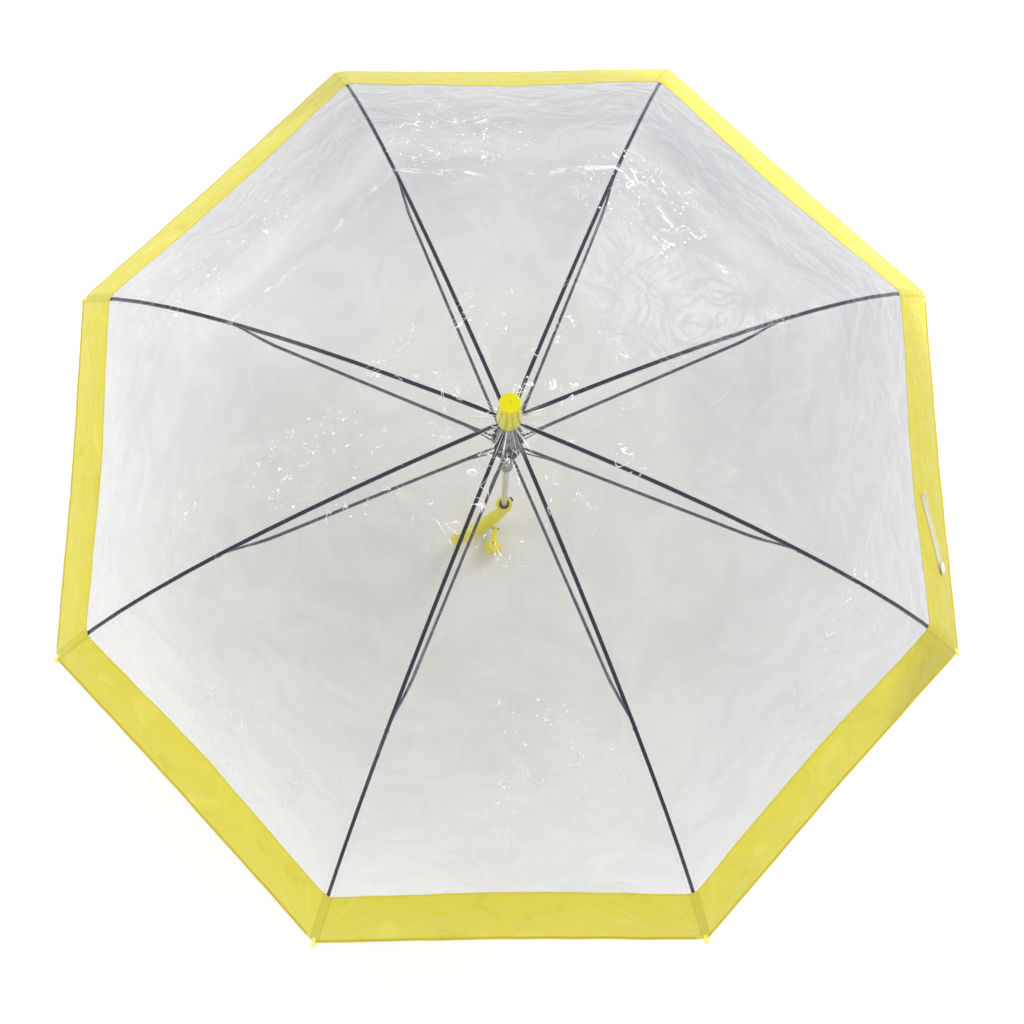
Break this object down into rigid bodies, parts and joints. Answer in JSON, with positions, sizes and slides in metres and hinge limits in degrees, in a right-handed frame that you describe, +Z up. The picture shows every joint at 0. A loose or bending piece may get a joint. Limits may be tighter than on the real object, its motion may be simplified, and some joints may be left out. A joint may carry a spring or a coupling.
{
  "type": "stick umbrella",
  "caption": "Dome stick umbrella with a clear film canopy and yellow border, folding rib frame, sliding runner, push button and hooked handle.",
  "frame": {"origin": "on the shaft's axis, at the middle of the grip, 60 mm below the collar's top rim and 0.76 m below the cap's top", "axes": "+Z up the shaft from handle to cap; the handle's hook leaves the shaft towards -146.6 degrees about +Z from +X; ribs every 45 degrees from 22.5"},
  "size_m": [0.9614, 0.9614, 0.8305],
  "materials": {
    "shaft_paint": "satin",
    "yellow_gloss": "gloss",
    "grey_plastic": "satin",
    "steel_wire": "satin",
    "clear_plastic": "gloss",
    "clear_film": "gloss, clear film with a yellow border",
    "dark_plastic": "satin",
    "steel_leaf": "satin",
    "white_plastic": "gloss",
    "black_steel": "gloss",
    "zinc_steel": "satin",
    "dark_wire": "satin"
  },
  "bodies": {
    "frame": {"shaft": "shaft_paint", "ferrule_cap": "yellow_gloss", "top_notch": "grey_plastic", "notch_wire": "steel_wire", "film_washer": "clear_plastic", "handle": "yellow_gloss", "button_spring": "steel_wire", "whistle_eye": "steel_wire"},
    "runner": {"runner_crown": "grey_plastic", "crown_wire": "steel_wire", "opening_spring": "steel_wire"},
    "sleeve": {"runner_sleeve": "grey_plastic", "sleeve_wire": "steel_wire"},
    "push_button": {"push_button": "dark_plastic"},
    "open_catch": {"open_catch": "steel_leaf"},
    "whistle": {"whistle": "yellow_gloss"},
    "rib_1": {"rib_1": "black_steel", "rib_tip_1": "yellow_gloss", "canopy_panel_1": "clear_film"},
    "stretcher_1": {"stretcher_1": "zinc_steel"},
    "link_1": {"link_1": "dark_wire"},
    "rib_2": {"rib_2": "black_steel", "rib_tip_2": "yellow_gloss", "canopy_panel_2": "clear_film"},
    "stretcher_2": {"stretcher_2": "zinc_steel"},
    "link_2": {"link_2": "dark_wire"},
    "rib_3": {"rib_3": "black_steel", "rib_tip_3": "yellow_gloss", "canopy_panel_3": "clear_film"},
    "stretcher_3": {"stretcher_3": "zinc_steel"},
    "link_3": {"link_3": "dark_wire"},
    "rib_4": {"rib_4": "black_steel", "rib_tip_4": "yellow_gloss", "canopy_panel_4": "clear_film"},
    "stretcher_4": {"stretcher_4": "zinc_steel"},
    "link_4": {"link_4": "dark_wire"},
    "rib_5": {"rib_5": "black_steel", "rib_tip_5": "yellow_gloss", "canopy_panel_5": "clear_film"},
    "stretcher_5": {"stretcher_5": "zinc_steel"},
    "link_5": {"link_5": "dark_wire"},
    "rib_6": {"rib_6": "black_steel", "rib_tip_6": "yellow_gloss", "canopy_panel_6": "clear_film"},
    "stretcher_6": {"stretcher_6": "zinc_steel"},
    "link_6": {"link_6": "dark_wire"},
    "rib_7": {"rib_7": "black_steel", "rib_tip_7": "yellow_gloss", "canopy_panel_7": "clear_film"},
    "stretcher_7": {"stretcher_7": "zinc_steel"},
    "link_7": {"link_7": "dark_wire"},
    "rib_8": {"rib_8": "black_steel", "rib_tip_8": "yellow_gloss", "canopy_panel_8": "clear_film", "closure_strap": "clear_film", "strap_ring": "white_plastic", "strap_snap": "white_plastic"},
    "stretcher_8": {"stretcher_8": "zinc_steel"},
    "link_8": {"link_8": "dark_wire"}
  },
  "joints": [
    {"name": "runner_slide", "type": "slide", "parent": "frame", "child": "runner", "axis": [0, 0, -1], "range_m": [0, 0.4133], "stiffness_N_per_m": 60, "springref_m": -0.2, "deforming": ["opening_spring"]},
    {"name": "sleeve_slide", "type": "slide", "parent": "runner", "child": "sleeve", "axis": [0, 0, 1], "range_m": [0, 0.0292], "deforming": ["opening_spring"]},
    {"name": "rib_hinge_1", "type": "hinge", "parent": "frame", "child": "rib_1", "pos_m": [0.00647, 0.00268, 0.69171], "axis": [-0.3827, 0.9239, 0], "range_deg": [0, 57.96], "deforming": ["canopy_panel_1"]},
    {"name": "rib_hinge_2", "type": "hinge", "parent": "frame", "child": "rib_2", "pos_m": [0.00268, 0.00647, 0.69171], "axis": [-0.9239, 0.3827, 0], "range_deg": [0, 57.96], "deforming": ["canopy_panel_2"]},
    {"name": "rib_hinge_3", "type": "hinge", "parent": "frame", "child": "rib_3", "pos_m": [-0.00268, 0.00647, 0.69171], "axis": [-0.9239, -0.3827, 0], "range_deg": [0, 57.96], "deforming": ["canopy_panel_3"]},
    {"name": "rib_hinge_4", "type": "hinge", "parent": "frame", "child": "rib_4", "pos_m": [-0.00647, 0.00268, 0.69171], "axis": [-0.3827, -0.9239, 0], "range_deg": [0, 57.96], "deforming": ["canopy_panel_4"]},
    {"name": "rib_hinge_5", "type": "hinge", "parent": "frame", "child": "rib_5", "pos_m": [-0.00647, -0.00268, 0.69171], "axis": [0.3827, -0.9239, 0], "range_deg": [0, 57.96], "deforming": ["canopy_panel_5"]},
    {"name": "rib_hinge_6", "type": "hinge", "parent": "frame", "child": "rib_6", "pos_m": [-0.00268, -0.00647, 0.69171], "axis": [0.9239, -0.3827, 0], "range_deg": [0, 57.96], "deforming": ["canopy_panel_6"]},
    {"name": "rib_hinge_7", "type": "hinge", "parent": "frame", "child": "rib_7", "pos_m": [0.00268, -0.00647, 0.69171], "axis": [0.9239, 0.3827, 0], "range_deg": [0, 57.96], "deforming": ["canopy_panel_7"]},
    {"name": "rib_hinge_8", "type": "hinge", "parent": "frame", "child": "rib_8", "pos_m": [0.00647, -0.00268, 0.69171], "axis": [0.3827, 0.9239, 0], "range_deg": [0, 57.96], "deforming": ["canopy_panel_8", "closure_strap", "strap_ring", "strap_snap"]},
    {"name": "stretcher_hinge_1", "type": "hinge", "parent": "runner", "child": "stretcher_1", "pos_m": [0.01235, 0.00154, 0.60304], "axis": [0.3827, -0.9239, 0], "range_deg": [0, 69.02]},
    {"name": "stretcher_hinge_2", "type": "hinge", "parent": "runner", "child": "stretcher_2", "pos_m": [0.00764, 0.00982, 0.60304], "axis": [0.9239, -0.3827, 0], "range_deg": [0, 69.02]},
    {"name": "stretcher_hinge_3", "type": "hinge", "parent": "runner", "child": "stretcher_3", "pos_m": [-0.00764, 0.00982, 0.60304], "axis": [0.9239, 0.3827, 0], "range_deg": [0, 69.02]},
    {"name": "stretcher_hinge_4", "type": "hinge", "parent": "runner", "child": "stretcher_4", "pos_m": [-0.01235, 0.00154, 0.60304], "axis": [0.3827, 0.9239, 0], "range_deg": [0, 69.02]},
    {"name": "stretcher_hinge_5", "type": "hinge", "parent": "runner", "child": "stretcher_5", "pos_m": [-0.00982, -0.00764, 0.60304], "axis": [-0.3827, 0.9239, 0], "range_deg": [0, 69.02]},
    {"name": "stretcher_hinge_6", "type": "hinge", "parent": "runner", "child": "stretcher_6", "pos_m": [-0.00154, -0.01235, 0.60304], "axis": [-0.9239, 0.3827, 0], "range_deg": [0, 69.02]},
    {"name": "stretcher_hinge_7", "type": "hinge", "parent": "runner", "child": "stretcher_7", "pos_m": [0.00154, -0.01235, 0.60304], "axis": [-0.9239, -0.3827, 0], "range_deg": [0, 69.02]},
    {"name": "stretcher_hinge_8", "type": "hinge", "parent": "runner", "child": "stretcher_8", "pos_m": [0.00982, -0.00764, 0.60304], "axis": [-0.3827, -0.9239, 0], "range_deg": [0, 69.02]},
    {"name": "link_hinge_1", "type": "hinge", "parent": "sleeve", "child": "link_1", "pos_m": [0.00905, 0.00375, 0.55104], "axis": [0.3827, -0.9239, 0], "range_deg": [0, 36.26]},
    {"name": "link_hinge_2", "type": "hinge", "parent": "sleeve", "child": "link_2", "pos_m": [0.00375, 0.00905, 0.55104], "axis": [0.9239, -0.3827, 0], "range_deg": [0, 36.26]},
    {"name": "link_hinge_3", "type": "hinge", "parent": "sleeve", "child": "link_3", "pos_m": [-0.00375, 0.00905, 0.55104], "axis": [0.9239, 0.3827, 0], "range_deg": [0, 36.26]},
    {"name": "link_hinge_4", "type": "hinge", "parent": "sleeve", "child": "link_4", "pos_m": [-0.00905, 0.00375, 0.55104], "axis": [0.3827, 0.9239, 0], "range_deg": [0, 36.26]},
    {"name": "link_hinge_5", "type": "hinge", "parent": "sleeve", "child": "link_5", "pos_m": [-0.00905, -0.00375, 0.55104], "axis": [-0.3827, 0.9239, 0], "range_deg": [0, 36.26]},
    {"name": "link_hinge_6", "type": "hinge", "parent": "sleeve", "child": "link_6", "pos_m": [-0.00375, -0.00905, 0.55104], "axis": [-0.9239, 0.3827, 0], "range_deg": [0, 36.26]},
    {"name": "link_hinge_7", "type": "hinge", "parent": "sleeve", "child": "link_7", "pos_m": [0.00375, -0.00905, 0.55104], "axis": [-0.9239, -0.3827, 0], "range_deg": [0, 36.26]},
    {"name": "link_hinge_8", "type": "hinge", "parent": "sleeve", "child": "link_8", "pos_m": [0.00905, -0.00375, 0.55104], "axis": [-0.3827, -0.9239, 0], "range_deg": [0, 36.26]},
    {"name": "button_press", "type": "slide", "parent": "frame", "child": "push_button", "axis": [-0.7986, -0.6018, 0], "range_m": [0, 0.0016], "stiffness_N_per_m": 400, "springref_m": -0.001, "deforming": ["button_spring"]},
    {"name": "catch_hinge", "type": "hinge", "parent": "frame", "child": "open_catch", "pos_m": [0, 0, 0.3947], "axis": [-1, 0, 0], "range_deg": [0, 5], "stiffness_Nm_per_rad": 0.5, "springref_deg": -5.73, "deforming": ["open_catch"]},
    {"name": "whistle_swing", "type": "hinge", "parent": "frame", "child": "whistle", "pos_m": [-0.01278, -0.0264, -0.05803], "axis": [0.989, -0.1478, 0], "range_deg": [-60, 90]}
  ],
  "couplings": [
    {"joint": "sleeve_slide", "follows": "runner_slide", "ratio": 0.07044},
    {"joint": "rib_hinge_1", "follows": "runner_slide", "rad_per_m": 2.4472},
    {"joint": "rib_hinge_2", "follows": "runner_slide", "rad_per_m": 2.4472},
    {"joint": "rib_hinge_3", "follows": "runner_slide", "rad_per_m": 2.4472},
    {"joint": "rib_hinge_4", "follows": "runner_slide", "rad_per_m": 2.4472},
    {"joint": "rib_hinge_5", "follows": "runner_slide", "rad_per_m": 2.4472},
    {"joint": "rib_hinge_6", "follows": "runner_slide", "rad_per_m": 2.4472},
    {"joint": "rib_hinge_7", "follows": "runner_slide", "rad_per_m": 2.4472},
    {"joint": "rib_hinge_8", "follows": "runner_slide", "rad_per_m": 2.4472},
    {"joint": "stretcher_hinge_1", "follows": "runner_slide", "rad_per_m": 2.9145},
    {"joint": "stretcher_hinge_2", "follows": "runner_slide", "rad_per_m": 2.9145},
    {"joint": "stretcher_hinge_3", "follows": "runner_slide", "rad_per_m": 2.9145},
    {"joint": "stretcher_hinge_4", "follows": "runner_slide", "rad_per_m": 2.9145},
    {"joint": "stretcher_hinge_5", "follows": "runner_slide", "rad_per_m": 2.9145},
    {"joint": "stretcher_hinge_6", "follows": "runner_slide", "rad_per_m": 2.9145},
    {"joint": "stretcher_hinge_7", "follows": "runner_slide", "rad_per_m": 2.9145},
    {"joint": "stretcher_hinge_8", "follows": "runner_slide", "rad_per_m": 2.9145},
    {"joint": "link_hinge_1", "follows": "runner_slide", "rad_per_m": 1.5309},
    {"joint": "link_hinge_2", "follows": "runner_slide", "rad_per_m": 1.5309},
    {"joint": "link_hinge_3", "follows": "runner_slide", "rad_per_m": 1.5309},
    {"joint": "link_hinge_4", "follows": "runner_slide", "rad_per_m": 1.5309},
    {"joint": "link_hinge_5", "follows": "runner_slide", "rad_per_m": 1.5309},
    {"joint": "link_hinge_6", "follows": "runner_slide", "rad_per_m": 1.5309},
    {"joint": "link_hinge_7", "follows": "runner_slide", "rad_per_m": 1.5309},
    {"joint": "link_hinge_8", "follows": "runner_slide", "rad_per_m": 1.5309}
  ]
}
